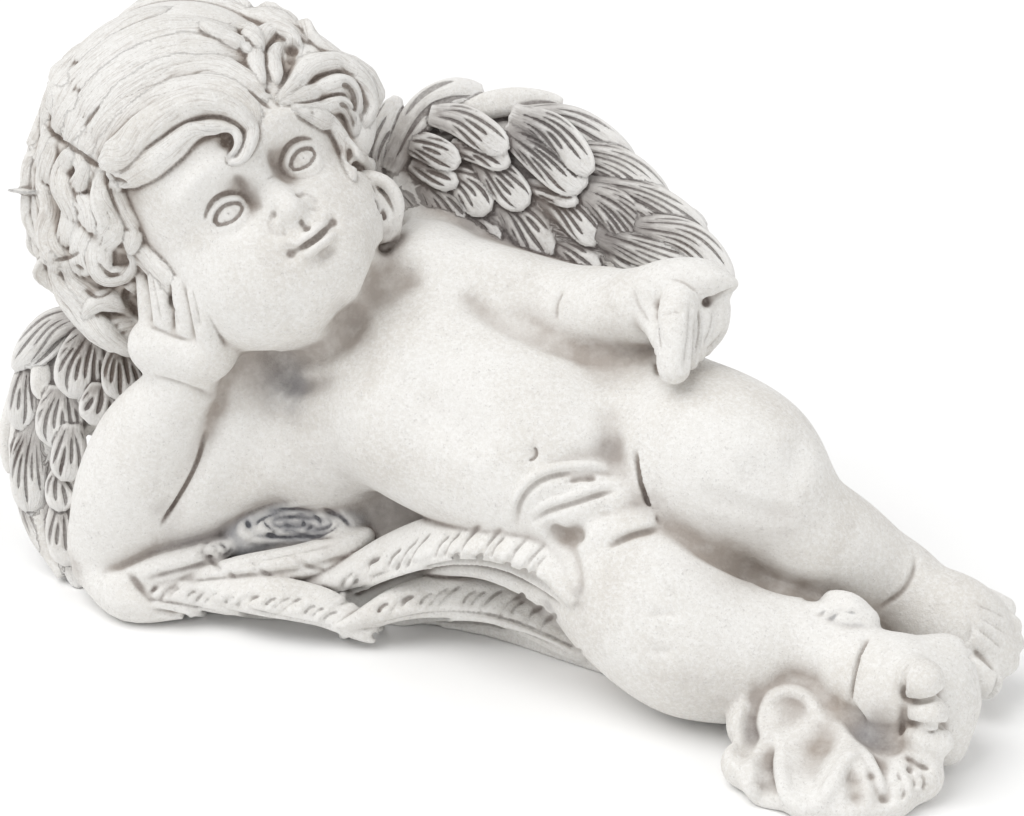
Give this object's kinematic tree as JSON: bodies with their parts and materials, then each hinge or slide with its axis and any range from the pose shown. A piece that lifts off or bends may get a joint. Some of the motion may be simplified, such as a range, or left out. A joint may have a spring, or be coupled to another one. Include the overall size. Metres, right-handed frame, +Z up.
{
  "type": "reclining cherub garden statue",
  "caption": "Winged cherub lying on its side, head propped on one hand, cast in one piece to rest on a flat underside as a shelf, grave or garden ornament.",
  "frame": {"origin": "on the ground under the middle of the statue's box", "axes": "+X along the figure from head to feet, +Y from its front to its back, +Z up from the flat underside"},
  "size_m": [0.361, 0.1562, 0.1987],
  "materials": {
    "cast_stone": "matte"
  },
  "bodies": {
    "root": {"angel_statue": "cast_stone"}
  },
  "joints": []
}
